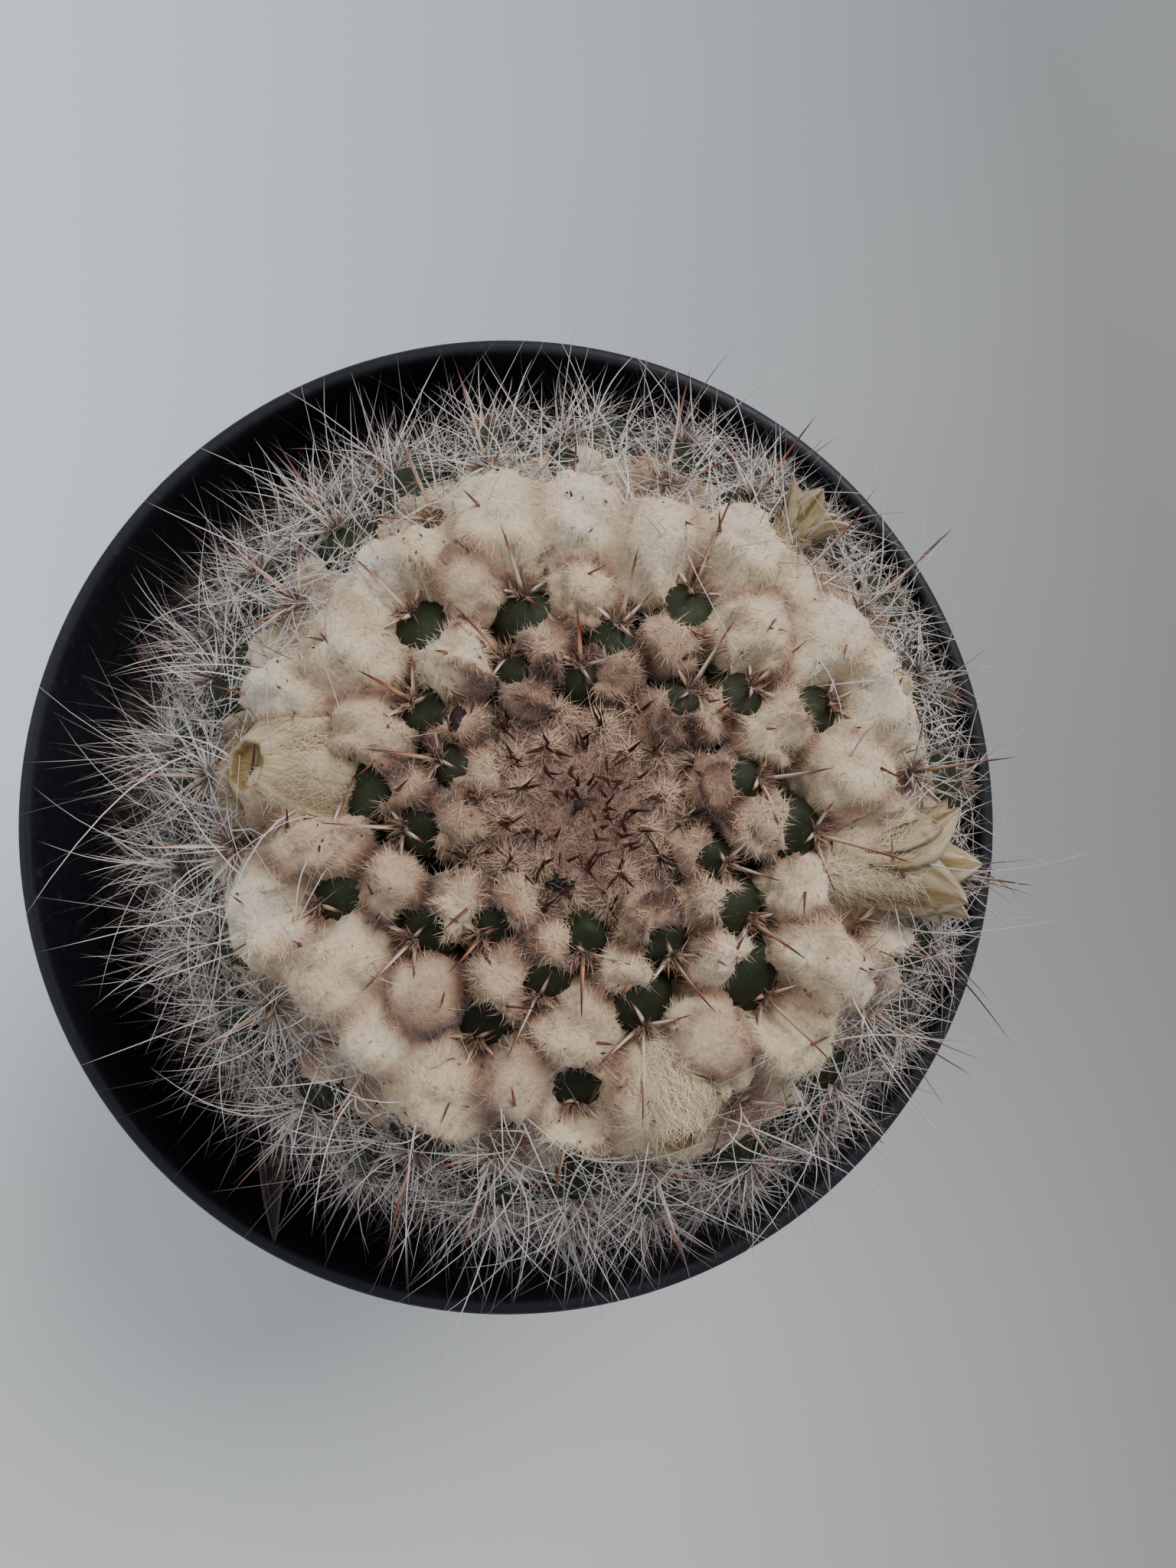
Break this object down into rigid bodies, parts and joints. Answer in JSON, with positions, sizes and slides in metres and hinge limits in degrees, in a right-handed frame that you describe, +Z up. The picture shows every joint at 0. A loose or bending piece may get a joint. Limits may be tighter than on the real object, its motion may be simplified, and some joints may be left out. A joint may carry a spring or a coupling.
{
  "type": "potted mammillaria cactus",
  "caption": "Low round cactus with woolly axils, spiny tubercles and withered flowers, off-centre in a tapered black nursery pot of soil.",
  "frame": {"origin": "centre of the pot's flat base, on the surface that it stands on", "axes": "+Z up the pot's axis; +X to the right and +Y away for someone who looks straight down with +Y at the top"},
  "size_m": [0.1092, 0.1086, 0.1376],
  "materials": {
    "pot": "satin black plastic",
    "soil": "dry dark peat with bark",
    "stem": "waxy green skin with pale spines",
    "wool": "cream wool",
    "felt": "short brown felt with dark spines",
    "petal": "dry papery yellow-green"
  },
  "bodies": {
    "root": {"pot": "pot", "soil": "soil", "stem": "stem", "wool": "wool", "crown_felt": "felt", "flower_1": "petal", "flower_2": "petal", "flower_3": "petal", "flower_4": "petal", "flower_5": "petal"}
  },
  "joints": []
}
